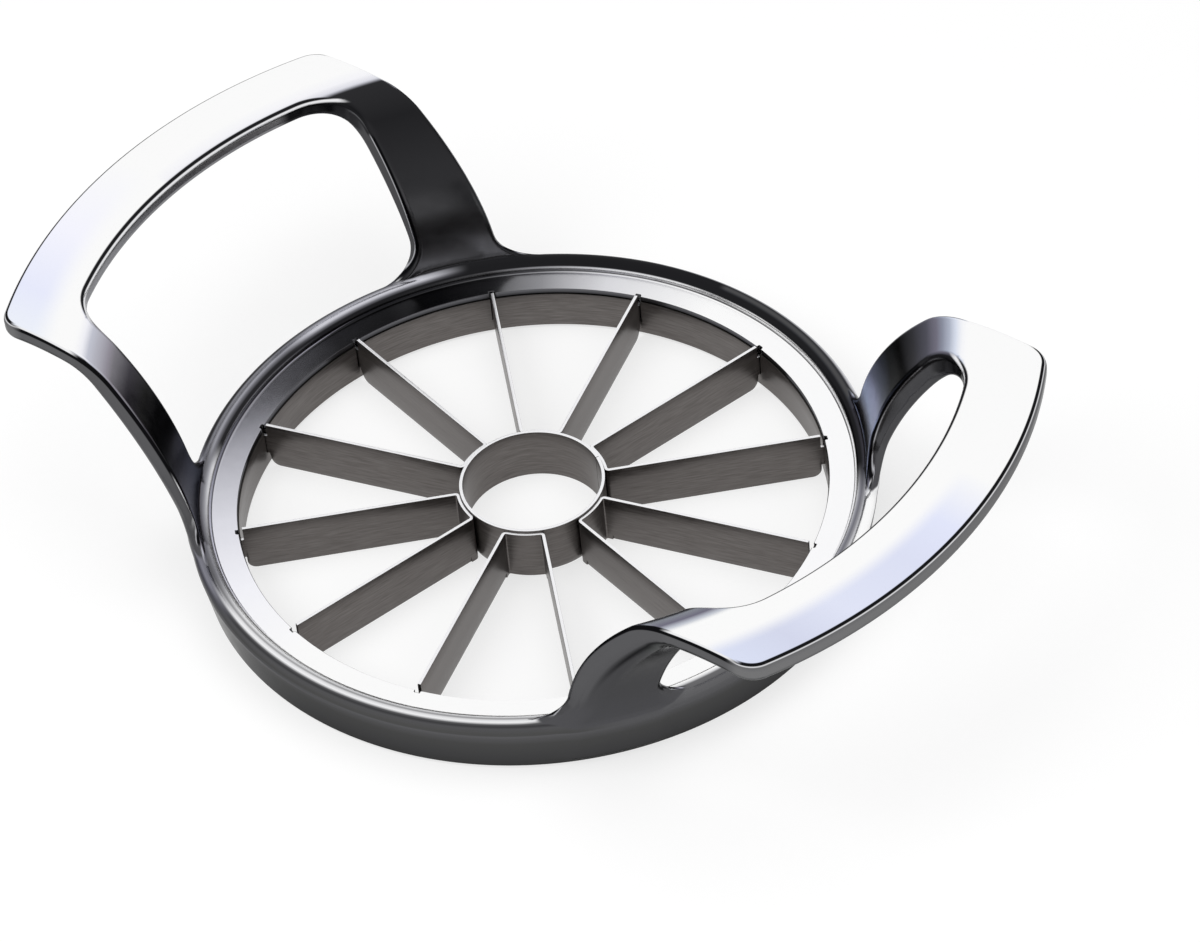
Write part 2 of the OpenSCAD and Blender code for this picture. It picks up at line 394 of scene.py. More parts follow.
def carry(path: np.ndarray, side: np.ndarray, sections: np.ndarray,
          closed: bool) -> tuple[np.ndarray, np.ndarray]:
    """Skin of a section carried along a path in plan.

    The point (s, j) is path[s] + side[s] * sections[s, j, 0], at the height sections[s, j, 1].

    Args:
        path: points of the path, shape (n, 2).
        side: unit vectors to the path's left, shape (n, 2).
        sections: section at each station as (offset, height), shape (n, m, 2), the left side first.
        closed: whether the path closes on itself. An open one gets a fan of quads at each end.

    Returns:
        Points and faces.
    """
    n, m = sections.shape[:2]
    flat = path[:, None] + side[:, None] * sections[:, :, :1]
    verts = np.concatenate([flat, sections[:, :, 1:]], -1).reshape(-1, 3)
    s = np.arange(n if closed else n - 1)[:, None]
    j = np.arange(m)[None]
    t, k = (s + 1) % n, (j + 1) % m
    faces = np.stack([s * m + j, t * m + j, t * m + k, s * m + k], -1).reshape(-1, 4)
    if not closed:
        half = np.arange(m // 2 - 1)
        cap = np.stack([half, half + 1, m - 2 - half, m - 1 - half], -1)
        faces = np.concatenate([faces, cap, (n - 1) * m + cap[:, ::-1]])
    return verts, faces


# The casting


@dataclass
class CastFrame(Piece):
    """The casting: ring with bead, flange, lip and channel, and two arched handles.

    The grid's runs are (start, end, step): turns in degrees over a quarter, the others in millimetres.
    """

    ring_r: float = 61.27
    foot_r: float = 60.0
    ring_h: float = 9.5
    bead_x: float = 59.27
    bead_r: float = 2.0
    seat_r: float = 53.4
    seat_z: float = 8.2
    lip_r: float = 52.7
    lip_top: float = 9.3
    foot_chamfer: float = 0.8
    channel_x: float = 56.3
    channel_r: float = 0.9
    channel_top: float = 6.9
    pocket_r: float = 54.4
    pocket_top: float = 7.6
    notch_r: float = 53.3
    slot_w: float = 1.0
    slots: int = 12
    grip_r: float = 91.5
    side_y: float = 44.4
    grip_corner_r: float = 5.0
    open_r: float = 78.2
    open_dist: float = 22.714
    open_taper: float = 11.0
    open_corner_r: float = 9.5
    open_fillet_r: float = 8.0
    side_fillet_r: float = 5.5
    arm_in: tuple = (112.6, 8.0, 53.4)
    arm_out: tuple = (127.95, -4.0, 68.0)
    crown: tuple = (84.0, 0.3, 45.0)
    under_r: float = 40.8
    bend_r: float = 10.0
    under_bend_r: float = 7.0
    ring_edge: float = 0.12
    bead_blend: float = 0.3
    channel_edge: float = 0.15
    slot_edge: float = 0.1
    handle_edge: float = 1.1
    under_edge: float = 2.1
    joint_width: float = 1.3
    fade_width: float = 3.0
    fade_least: float = 0.04
    root_z: float = 2.0
    root_r: float = 62.0
    shear_top: float = 41.0
    last_turn: float = 47.4
    lean_turns: tuple = (0, 22.6, 34.7, 43.6)
    turns: tuple = ((0, 13.6, 1.7), (13.6, 16.4, 0.28), (16.4, 22.6, 1.24), (22.6, 32.6, 0.77),
                    (32.6, 34.7, 0.26), (34.7, 37.4, 0.54), (37.4, 43.6, 0.78), (43.6, 47.4, 0.27),
                    (47.4, 52.0, 0.66), (52.0, 73.6, 1.66), (73.6, 76.4, 0.28), (76.4, 90.0, 1.7))
    radii: tuple = ((52.2, 53.8, 0.23), (53.8, 57.4, 0.6), (57.4, 62.2, 0.28), (62.2, 66.2, 0.57),
                    (66.2, 68.4, 0.3), (68.4, 74.6, 0.78), (74.6, 78.4, 0.48), (78.4, 80.9, 0.26))
    levels: tuple = ((-0.4, 1.2, 0.32), (1.2, 5.6, 1.1), (5.6, 7.4, 0.45), (7.4, 11.7, 0.27),
                     (11.7, 16.6, 0.55), (16.6, 34.0, 1.0), (34.0, 40.0, 0.5), (40.0, 46.0, 0.31))

    def ring_field(self, r: np.ndarray, z: np.ndarray) -> np.ndarray:
        """Distance to the ring's section without its slots: the wall and the bead, less the channel.

        Args:
            r: radii of the points.
            z: heights of the points.

        Returns:
            Distance, negative inside.
        """
        e = self.ring_edge
        foot = self.foot_chamfer
        wall = polygon_distance(r, z, [
            (self.seat_r + e, e), (self.foot_r - foot - e / 2, e), (self.foot_r - e, foot + e / 2),
            (self.ring_r - e, self.ring_h - self.bead_r / 4 - e), (self.bead_x, self.ring_h - e),
            (self.bead_x - self.bead_r, self.ring_h - e), (self.lip_r + e, self.lip_top - e),
            (self.lip_r + e, self.seat_z + e), (self.seat_r + e, self.seat_z + e)]) - e
        bead = np.hypot(r - self.bead_x, z - self.ring_h) - self.bead_r
        body = smooth_min(wall, bead, self.bead_blend)
        above = np.maximum(z - (self.channel_top - self.channel_r), 0)
        channel = np.hypot(r - self.channel_x, above) - self.channel_r
        return round_max(body, -channel, self.channel_edge)

    def slot_field(self, x: np.ndarray, y: np.ndarray, z: np.ndarray) -> np.ndarray:
        """Distance to the nearest of the slots that take the blades' tabs.

        Args:
            x: first coordinate of the points.
            y: second coordinate.
            z: heights.

        Returns:
            Distance, negative inside.
        """
        step = 2 * np.pi / self.slots
        near = np.mod(np.arctan2(y, x), step) - step / 2
        r = np.hypot(x, y)
        along, across = r * np.cos(near), np.abs(r * np.sin(near)) - self.slot_w / 2
        deep = np.maximum(along - self.pocket_r, z - self.pocket_top)
        return np.maximum(across, np.minimum(deep, along - self.notch_r))

    def handle_field(self, x: np.ndarray, y: np.ndarray, z: np.ndarray,
                     ring: np.ndarray) -> tuple[np.ndarray, np.ndarray]:
        """Distance to the handle on the side that x is on.

        The handle is a curved wall cut to the outline from above. Its side faces run into the ring
        through fillets, which are unions of a side face with the ring itself.

        Args:
            x: first coordinate of the points.
            y: second coordinate.
            z: heights.
            ring: distance to the ring at the points.

        Returns:
            Distance to the handle, and how far the points lie outside its side faces.
        """
        x, y, r = np.abs(x), np.abs(y), np.hypot(x, y)
        under = (self.crown[0], self.crown[1], self.under_r)
        skin = lens(r, z, self.arm_in, self.crown, inner_touch(self.arm_in, self.crown, self.bend_r),
                    self.bend_r)
        core = lens(r, z, self.arm_out, under, inner_touch(self.arm_out, under, self.under_bend_r),
                    self.under_bend_r)
        wall = np.maximum(np.maximum(skin, -core), self.root_z - z)
        outline = slice_of_disc(x, y, self.grip_r, self.side_y, 0, self.grip_corner_r)
        opening = -slice_of_disc(x, y, self.open_r, self.open_dist, self.open_taper, self.open_corner_r)
        gap = np.maximum(outline, opening)
        outline = np.maximum(fillet_union(outline, ring, self.side_fillet_r), outline - self.side_fillet_r)
        opening = np.maximum(fillet_union(opening, ring, self.open_fillet_r), opening - self.open_fillet_r)
        lower = np.clip((-core - skin) / self.under_edge + 0.5, 0, 1)
        edge = self.handle_edge + (self.under_edge - self.handle_edge) * lower
        return round_max(wall, np.maximum(outline, opening), edge), gap

    def field(self, x: np.ndarray, y: np.ndarray, z: np.ndarray) -> np.ndarray:
        """Distance to the whole casting, whose soft joint fades out past the handle's sides.

        Args:
            x: first coordinate of the points.
            y: second coordinate.
            z: heights.

        Returns:
            Distance, negative inside.
        """
        ring = self.ring_field(np.hypot(x, y), z)
        handle, gap = self.handle_field(x, y, z, ring)
        fade = np.clip(1 - gap / self.fade_width, self.fade_least, 1)
        whole = smooth_min(ring, handle, self.joint_width * fade)
        return round_max(whole, -self.slot_field(x, y, z), self.slot_edge)

    def columns(self, r: np.ndarray) -> np.ndarray:
        """Angles of the grid's upright columns at the radii r, over the whole turn.

        Inside root_r a column keeps its angle. Outside it the columns of the first quarter follow lines
        in plan: those by the opening lie at the opening's taper, those by the handle's side along X.
        A line at the angle lean and the distance d from the axis crosses a radius at
        lean + arcsin(d / r). The other quarters mirror the first.

        Args:
            r: radii, shape (r, 1, z).

        Returns:
            Angles in radians, shape (r, theta, z).
        """
        quarter = steps(*self.turns)
        lean = radians(self.open_taper) * np.interp(quarter, self.lean_turns, (0, 1, 1, 0))
        base = np.radians(np.minimum(quarter, self.last_turn))
        lean, base = lean[None, :, None], base[None, :, None]
        turned = lean + np.arcsin(self.root_r * np.sin(base - lean) / np.maximum(r, self.root_r))
        share = np.clip((90 - quarter) / (90 - self.last_turn), 0, 1)[None, :, None]
        angle = np.radians(quarter)[None, :, None] + (turned - base) * share
        half = np.concatenate([angle, np.pi - angle[:, -2:0:-1]], 1)
        return np.concatenate([half, half + np.pi], 1)

    def grid(self) -> np.ndarray:
        """Grid corners, close together where the shape turns sharply.

        Above the bead the radii shift outward with height, by what the handle's inner face leans:
        shift = face(height) - face(bead top), so the grid's lines run along the handle's legs.

        Returns:
            Places of the corners, shape (r, theta, z, 3).
        """
        r, z = steps(*self.radii), steps(*self.levels)
        level = np.clip(z, self.ring_h + self.bead_r, self.shear_top)
        mid_r, mid_z, big = self.arm_in
        face = mid_r - np.sqrt(big**2 - (level - mid_z) ** 2)
        radii = (r[:, None] + face - face[0])[:, None]
        angle = self.columns(radii)
        return np.stack(np.broadcast_arrays(radii * np.cos(angle), radii * np.sin(angle), z), -1)

    def build(self) -> bpy.types.Object:
        """Meshes the casting on a grid round its axis, with exact normals.

        Returns:
            The casting's object.
        """
        place = self.grid()
        verts, faces = surface_net(self.field(place[..., 0], place[..., 1], place[..., 2]), place)
        verts, normals = settle(lambda p: self.field(p[:, 0], p[:, 1], p[:, 2]), verts)
        LOG.info("casting: %d points, %d faces", len(verts), len(faces))
        return write_mesh("cast_frame", verts, faces, normals)


# Blades, band and core


def flat_section(t: float, edge: float, low: np.ndarray, top: np.ndarray, foot: np.ndarray,
                 bevel: np.ndarray) -> np.ndarray:
    """Upright section of a strip at each station, sixteen points, from the left foot up and round.

    Args:
        t: thickness of the strip.
        edge: size of the small rounding on the upper edges.
        low: height of the foot at each station.
        top: height of the top at each station.
        foot: half of the foot's width at each station.
        bevel: height at which the full thickness is reached, above the foot.

    Returns:
        Sections of shape (n, 16, 2), as (offset, height).
    """
    w = np.full(len(low), t / 2)
    shy = edge * 0.3
    left = [(foot, low)]
    left += [(w, low + bevel + (top - low - bevel) * share) for share in (0, 0.33, 0.66)]
    left += [(w, top - edge), (w - shy, top - shy), (w - edge, top), (w * 0.3, top)]
    left = [np.stack(point, -1) for point in left]
    right = [point * np.array([-1, 1]) for point in left[::-1]]
    return np.stack(left + right, 1)


@dataclass
class BladeBand(Piece):
    """The band round the blades, with a slot for each blade's tab."""

    r_in: float = 52.5
    t: float = 0.8
    z_low: float = 0.6
    h: float = 7.5
    slots: int = 12
    slot_w: float = 1.0
    slot_z: float = 3.1
    edge: float = 0.1
    between: int = 21
    crease: float = 40.0

    def build(self) -> bpy.types.Object:
        """Carries the band's section round a circle, with a lower top across each slot.

        Returns:
            The band's object.
        """
        r = self.r_in + self.t / 2
        gap = np.degrees(self.slot_w / 2 / r)
        step = 360 / self.slots
        one = np.concatenate([[-gap - TIGHT, -gap, gap, gap + TIGHT],
                              np.linspace(gap, step - gap, self.between + 2)[1:-1]])
        turns = np.concatenate([one + step * (n + 0.5) for n in range(self.slots)])
        low = np.tile(np.concatenate([[False, True, True, False], np.zeros(self.between, bool)]), self.slots)
        a = np.radians(turns)
        side = np.stack([-np.cos(a), -np.sin(a)], -1)
        top = np.where(low, self.slot_z, self.z_low + self.h)
        same = np.ones(len(a))
        sections = flat_section(self.t, self.edge, same * self.z_low, top, same * self.t / 2,
                                same * self.edge)
        verts, faces = carry(-side * r, side, sections, True)
        return write_mesh("band", verts, faces, crease=self.crease)


@dataclass
class CoreRing(Piece):
    """The ring that cuts out the core."""

    r_in: float = 12.4
    t: float = 0.6
    z_low: float = 0.2
    h: float = 10.2
    bevel_h: float = 1.2
    flat: float = 0.1
    edge: float = 0.1
    seam_angle: float = 60.0
    seam_gap: float = 0.12
    stations: int = 181
    crease: float = 40.0

    def build(self) -> bpy.types.Object:
        """Carries the ring's section round from one side of its butt seam to the other.

        Returns:
            The core ring's object.
        """
        gap = self.seam_gap / self.r_in
        a = radians(self.seam_angle) + np.linspace(gap / 2, 2 * np.pi - gap / 2, self.stations)
        side = np.stack([-np.cos(a), -np.sin(a)], -1)
        same = np.ones(self.stations)
        sections = flat_section(self.t, self.edge, same * self.z_low, same * (self.z_low + self.h),
                                same * self.t / 2, same * self.bevel_h)
        sections[:, -1, 0] = self.t / 2 - self.flat
        verts, faces = carry(-side * (self.r_in + self.t / 2), side, sections, False)
        return write_mesh("core", verts, faces, crease=self.crease)


@dataclass
class BladePair(Piece):
    """One strip, folded into two blades and the bridge between them round the core ring."""

    number: int
    t: float = 0.6
    z_low: float = 0.2
    h: float = 9.8
    blade_r: float = 52.0
    tab_r: float = 54.0
    tab_low: float = 3.2
    tab_h: float = 4.2
    corner_r: float = 1.7
    bevel_h: float = 1.2
    square_h: float = 0.1
    flat: float = 0.1
    edge: float = 0.1
    fold_r: float = 0.3
    bridge_r: float = 13.35
    half_angle: float = 15.0
    corner_n: int = 7
    straight_n: int = 12
    fold_n: int = 9
    bridge_n: int = 13
    crease: float = 35.0

    def leg(self) -> tuple[np.ndarray, np.ndarray]:
        """Stations of one blade from its tab to its fold.

        Returns:
            Path points as (distance along the blade, distance across it), and for each of them the
            foot, the top, half of the foot's width and the bevel's height.
        """
        fold_mid = self.fold_r + self.t / 2
        fold_x = ((self.bridge_r + fold_mid) ** 2 - fold_mid**2) ** 0.5
        corner_x = self.blade_r - self.corner_r
        bevel_x = fold_x + self.fold_r + self.t
        curve = corner_x + self.corner_r * np.sin(np.linspace(np.pi / 2, 0, self.corner_n))
        drop = np.sqrt(np.maximum(self.corner_r**2 - (curve - corner_x) ** 2, 0))
        top, tab_top = self.z_low + self.h, self.tab_low + self.tab_h
        square, bevelled = (self.t / 2, self.square_h), (self.flat / 2, self.bevel_h)
        rows = [(x, self.tab_low, tab_top) + square for x in (self.tab_r, self.blade_r + TIGHT)]
        rows += [(x, low, top) + bevelled for x, low in zip(curve, self.z_low + self.corner_r - drop)]
        rows += [(x, self.z_low, top) + bevelled for x in np.linspace(corner_x, bevel_x, self.straight_n)[1:]]
        rows += [(x, self.z_low, top) + square for x in (bevel_x - TIGHT, fold_x)]
        rows = np.array(rows)
        straight = np.stack([rows[:, 0], np.zeros(len(rows))], -1)
        turn = np.linspace(np.pi / 2, np.pi - np.arctan2(fold_mid, fold_x), self.fold_n)[1:]
        fold = np.stack([fold_x + fold_mid * np.cos(turn), fold_mid * (np.sin(turn) - 1)], -1)
        sizes = np.concatenate([rows[:, 1:], np.repeat(rows[-1:, 1:], len(fold), 0)])
        return np.concatenate([straight, fold]), sizes

    def build(self) -> bpy.types.Object:
        """Carries the strip's section from one tab through both folds to the other tab.

        Returns:
            The strip's object.
        """
        path, sizes = self.leg()
        h = radians(self.half_angle)
        turned = path @ np.array([[cos(h), sin(h)], [-sin(h), cos(h)]])
        reach = np.arctan2(turned[-1, 1], turned[-1, 0])
        arc = np.linspace(reach, -reach, self.bridge_n)[1:-1]
        bridge = self.bridge_r * np.stack([np.cos(arc), np.sin(arc)], -1)
        whole = np.concatenate([turned, bridge, turned[::-1] * np.array([1, -1])])
        sizes = np.concatenate([sizes, np.repeat(sizes[-1:], len(arc), 0), sizes[::-1]])
        ahead = np.gradient(whole, axis=0)
        straight = len(path) - self.fold_n
        ahead[:straight] = -np.array([cos(h), sin(h)])
        ahead[-straight:] = np.array([cos(h), -sin(h)])
        side = unit(np.stack([-ahead[:, 1], ahead[:, 0]], -1))
        turn = 4 * h * self.number
        spin = np.array([[cos(turn), sin(turn)], [-sin(turn), cos(turn)]])
        sections = flat_section(self.t, self.edge, *sizes.T)
        verts, faces = carry(whole @ spin, side @ spin, sections, False)
        return write_mesh(f"blade_strip_{self.number + 1}", verts, faces, crease=self.crease)


# Finishes, with painted reflections and highlights


Socket = bpy.types.NodeSocket
# Range that most values of a noise lie in
NOISE = (0.2, 0.8)


def hex_colour(text: str) -> tuple:
    """Linear RGBA of a colour that is written as rrggbb in sRGB."""
    values = [int(text[n:n + 2], 16) / 255 for n in (0, 2, 4)]
    return tuple(v / 12.92 if v <= 0.04045 else ((v + 0.055) / 1.055) ** 2.4 for v in values) + (1.0,)


class Nodes:
    """Short hand for the node tree of a material or a world. A value is a socket, a number or a vector."""

    def __init__(self, owner: bpy.types.ID, shader: str = "ShaderNodeBsdfPrincipled",
                 output: str = "ShaderNodeOutputMaterial") -> None:
        """Empties the owner's tree and puts a shader there that feeds an output.

        Args:
            owner: material or world.
            shader: kind of the shader node.
            output: kind of the output node.
        """
        owner.use_nodes = True
        self.tree = owner.node_tree
        self.tree.nodes.clear()
        self.shader = self.add(shader)
        self.feed(self.add(output).inputs[0], self.shader.outputs[0])

    def add(self, kind: str, **values: str) -> bpy.types.Node:
        """Adds a node.

        Args:
            kind: the node's type.
            values: properties to set.

        Returns:
            The node.
        """
        node = self.tree.nodes.new(kind)
        for key, value in values.items():
            setattr(node, key, value)
        return node

    def feed(self, target: Socket, source: Socket | float | tuple) -> None:
        """Links a socket to the target, or writes a value there.

        Args:
            target: an input.
            source: a value.
        """
        if isinstance(source, Socket):
            self.tree.links.new(source, target)
        else:
            target.default_value = source

    def put(self, name: str, source: Socket | float | tuple) -> None:
        """Feeds the shader's input of that name."""
        self.feed(self.shader.inputs[name], source)

    def math(self, operation: str, *terms: Socket | float) -> Socket:
        """Adds a Math node.

        Args:
            operation: what it does.
            terms: its values.

        Returns:
            The result.
        """
        node = self.add("ShaderNodeMath", operation=operation)
        for n, term in enumerate(terms):
            self.feed(node.inputs[n], term)
        return node.outputs[0]

    def length(self, one: Socket, two: Socket) -> Socket:
        """Square root of the sum of two squares."""
        return self.math("SQRT", self.math("ADD", *(self.math("POWER", side, 2.0) for side in (one, two))))

    def vector(self, operation: str, one: Socket | tuple, two: Socket | tuple) -> Socket:
        """Adds a Vector Math node.

        Args:
            operation: what it does.
            one: first vector.
            two: second vector.

        Returns:
            The result.
        """
        node = self.add("ShaderNodeVectorMath", operation=operation)
        self.feed(node.inputs[0], one)
        self.feed(node.inputs[1], two)
        return node.outputs["Value" if operation == "DOT_PRODUCT" else "Vector"]

    def place(self, output: str) -> Socket:
        """Output of a Texture Coordinate node."""
        return self.add("ShaderNodeTexCoord").outputs[output]

    def parts(self, vector: Socket) -> list[Socket]:
        """Splits a vector.

        Args:
            vector: the vector.

        Returns:
            Its X, Y and Z.
        """
        node = self.add("ShaderNodeSeparateXYZ")
        self.feed(node.inputs[0], vector)
        return list(node.outputs)

    def noise(self, scale: float, detail: float, squash: tuple = (1, 1, 1)) -> Socket:
        """Noise over Object coordinates.

        Args:
            scale: cycles a metre.
            detail: number of finer layers.
            squash: factor on the scale along each axis.

        Returns:
            The noise, most of it between the two values of NOISE.
        """
        mapping = self.add("ShaderNodeMapping")
        self.feed(mapping.inputs["Scale"], squash)
        self.feed(mapping.inputs[0], self.place("Object"))
        node = self.add("ShaderNodeTexNoise")
        for name, source in (("Scale", scale), ("Detail", detail), ("Vector", mapping.outputs[0])):
            self.feed(node.inputs[name], source)
        return node.outputs["Fac"]

    def ramp(self, value: Socket, stops: tuple) -> Socket:
        """Colour ramp, held past its ends.

        Args:
            value: what it is read at.
            stops: (value, rrggbb) pairs in rising order.

        Returns:
            The colour.
        """
        low, high = stops[0][0], stops[-1][0]
        node = self.add("ShaderNodeValToRGB")
        self.feed(node.inputs[0], self.math("MULTIPLY_ADD", value, 1 / (high - low), -low / (high - low)))
        points = node.color_ramp.elements
        for n, (stop, _) in enumerate(stops):
            share = (stop - low) / (high - low)
            point = points[n] if n < 2 else points.new(share)
            point.position = share
        for point, (_, colour) in zip(sorted(points, key=lambda p: p.position), stops):
            point.color = hex_colour(colour)
        return node.outputs[0]

    def mix(self, share: Socket | float, one: Socket | tuple, two: Socket | tuple) -> Socket:
        """Mixes two colours.

        Args:
            share: share of the second colour.
            one: first colour.
            two: second colour.

        Returns:
            The colour.
        """
        node = self.add("ShaderNodeMix", data_type="RGBA")
        for n, source in ((0, share), (6, one), (7, two)):
            self.feed(node.inputs[n], source)
        return node.outputs[2]

    def span(self, value: Socket, low: float, high: float, out_low: float = 0.0,
             out_high: float = 1.0) -> Socket:
        """Carries a value from one range to another, smoothly and held at the ends.

        Args:
            value: the value.
            low: value that gives out_low.
            high: value that gives out_high.
            out_low: result at low.
            out_high: result at high.

        Returns:
            The result.
        """
        node = self.add("ShaderNodeMapRange", interpolation_type="SMOOTHSTEP")
        for n, term in enumerate((value, low, high, out_low, out_high)):
            self.feed(node.inputs[n], term)
        return node.outputs[0]

    def zone(self, *limits: tuple) -> Socket:
        """Share of a zone, the product of its limits' shares.

        Args:
            limits: pairs of a value and the two values where its share is 0 and 1.

        Returns:
            The share.
        """
        whole = self.span(limits[0][0], *limits[0][1])
        for value, ends in limits[1:]:
            whole = self.math("MULTIPLY", whole, self.span(value, *ends))
        return whole

    def seen(self) -> Socket:
        """Whether a ray comes from the camera, a mirror or glass.

        Returns:
            1 for such a ray, else 0.
        """
        ray = self.add("ShaderNodeLightPath").outputs
        direct = self.math("MAXIMUM", ray["Is Camera Ray"], ray["Is Glossy Ray"])
        return self.math("MAXIMUM", direct, ray["Is Transmission Ray"])


class Surface:
    """Place and normal of a point as sockets, in millimetres, and in degrees round the Z axis."""

    def __init__(self, n: Nodes) -> None:
        """Works the sockets out.

        Args:
            n: nodes of the material.
        """
        self.x, self.y, self.z = (n.math("MULTIPLY", part, 1 / MM) for part in n.parts(n.place("Object")))
        nx, ny, self.nz = n.parts(n.place("Normal"))
        self.r = n.length(self.x, self.y)
        self.bearing = n.math("WRAP", n.math("DEGREES", n.math("ARCTAN2", self.y, self.x)), 340.0, -20.0)
        outward_parts = n.math("MULTIPLY", nx, self.x), n.math("MULTIPLY", ny, self.y)
        turned_parts = n.math("MULTIPLY", ny, self.x), n.math("MULTIPLY", nx, self.y)
        self.out = n.math("DIVIDE", n.math("ADD", *outward_parts), self.r)
        self.turn = n.math("DIVIDE", n.math("SUBTRACT", *turned_parts), self.r)
        self.right, self.far = n.span(self.x, -1.0, 1.0), n.span(self.y, -1.0, 1.0)


@dataclass(frozen=True)
class PaintedChrome:
    """Bright plating whose colour is painted reflections: each zone of the surface holds painted tones of
    what it would mirror under a studio roof.

    Where no zone is named, the painted reflection follows one fixed slanting line of sight mirrored in the
    surface. The mirrored line's height
    and bearing pick the tone: bright to the rear, dark overhead and below, with a painted lamp highlight near
    the lamp's direction. The named zones have painted ramps of their own, over the bearing, the angle round a
    section, the height, the radius or the normal's rise.

    Tones are (value, rrggbb) stops. Limits are pairs: the value where a zone's share is 0, and where it
    is 1. Their names end in what they are read on: z and r in millimetres, rise for the normal's Z, out
    for its part away from the axis, turn for its part round the axis.
    """

    name: str = "chrome_painted_reflections"
    roughness: float = 0.2
    spread: float = 0.03
    grain: tuple = (500.0, 3.0)
    # Fixed line of sight that the normal mirrors for the painted reflection where no zone is named; rear and
    # fore are its painted tones
    sight: tuple = (-0.469, 0.557, -0.686)
    # Direction near which the mirrored line gets a painted lamp highlight, how near, and the highlight's tone
    lamp: tuple = (-0.151, -0.603, 0.784)
    lamp_near: tuple = (0.84, 0.92)
    lamp_tone: str = "f6f6f8"
    low_below: float = 0.6
    low_turn: float = 0.5
    rear_bearing: tuple = (0.34, 0.46)
    rear: tuple = ((-1.0, "4a4c4c"), (-0.6, "48484a"), (-0.5, "36363a"), (-0.42, "1c1c20"), (-0.27, "1c1c1e"),
                   (-0.16, "444248"), (-0.06, "7c7a80"), (0.11, "908c96"), (0.42, "b4b4c0"), (0.56, "c6c8d6"),
                   (0.65, "f2f2fa"), (0.77, "fafafa"), (0.83, "2e2e32"))
    fore: tuple = ((-1.0, "4c4c4c"), (-0.45, "48484a"), (-0.2, "38383c"), (0.25, "1c1c20"), (0.6, "1c1c1e"),
                   (0.95, "2c2c2e"))

    # Painted reflections on the handles' outer faces and on the ring's wall, lip and flange; the wall's
    # palest stop is a painted highlight on the foot's chamfer
    face: tuple = ((9, "505053"), (20, "4c4c4e"), (38, "48484a"))
    face_out: tuple = (0.1, 0.3)
    face_low_z: tuple = (9.0, 10.0)
    face_top_z: tuple = (38.0, 36.0)
    wall: tuple = ((0.3, "8a8a86"), (0.6, "3c3c3c"), (3, "434344"), (7, "4a4a4a"), (9, "58585a"))
    wall_out: tuple = (0.5, 0.7)
    wall_z: tuple = (9.5, 9.2)
    lip: tuple = ((8.2, "2a2a2c"), (9.2, "66666a"))
    lip_out: tuple = (-0.4, -0.7)
    lip_r: tuple = (53.4, 53.0)
    flange: tuple = ((-20, "f8f8fa"), (90, "fafafa"), (112, "d8d8dc"), (125, "8c8c90"), (135, "58585a"),
                     (145, "303032"), (156, "1e1e20"), (168, "2c2c2e"), (184, "66666a"), (200, "a6a6ae"),
                     (222, "dcdce4"), (240, "f2f2f8"), (260, "fafafa"), (340, "fafafa"))
    flange_z: tuple = (9.0, 9.15)
    flange_r: tuple = (57.45, 57.25)
    flange_rise: tuple = (0.5, 0.8)

    # Painted reflections and painted highlight lines round the bead, in sectors over the bearing
    bead_x: float = 59.27
    bead_z: float = 9.5
    bead_r: float = 2.0
    bead_off: tuple = (0.6, 0.3)
    bead_low_z: tuple = (9.2, 9.4)
    bead_in_r: tuple = (57.2, 57.4)
    bead_flank: tuple = (145.0, 153.0)
    bead_start: tuple = (-8, -14)
    bead: tuple = (
        ((95, 108), ((30, "e0e0e4"), (46, "d0d0d4"), (58, "a0a0a4"), (68, "303032"), (78, "202022"),
                     (180, "202022"))),
        ((138, 148), ((46, "5c5c5e"), (60, "4c4c4e"), (72, "303032"), (90, "202022"), (180, "1e1e20"))),
        ((168, 178), ((46, "343438"), (60, "38383c"), (72, "606066"), (84, "98989e"), (96, "ccccd4"),
                      (112, "ccccd4"), (128, "68686e"), (140, "202022"), (180, "1c1c1e"))),
        ((202, 210), ((26, "70707a"), (40, "505054"), (56, "242426"), (68, "38383a"), (80, "78787e"),
                      (92, "707076"), (104, "96969e"), (116, "68686e"), (130, "28282a"), (180, "1c1c1e"))),
        ((236, 250), ((16, "545458"), (34, "484850"), (50, "80808a"), (72, "707078"), (90, "404046"),
                      (104, "68686e"), (118, "98989e"), (134, "d0d0d4"), (180, "f0f0f2"))),
        ((312, 322), ((10, "4c4c4c"), (36, "525254"), (48, "3a3a3c"), (58, "58585a"), (70, "f0f0f2"),
                      (82, "e0e0e2"), (92, "909092"), (104, "d8d8da"), (118, "f8f8f8"), (180, "fafafa"))),
        (None, ((0, "58585a"), (80, "6a6a6c"), (92, "dcdcde"), (104, "fafafa"), (180, "fafafa"))))
    bead_right: tuple = ((0, "fafafa"), (70, "fafafa"), (80, "c8c8cc"), (92, "84848a"), (104, "6a6a72"),
                         (116, "909098"), (128, "c8c8cc"), (142, "f6f6f8"), (180, "fafafa"))
    bead_right_end: tuple = (36, 26)

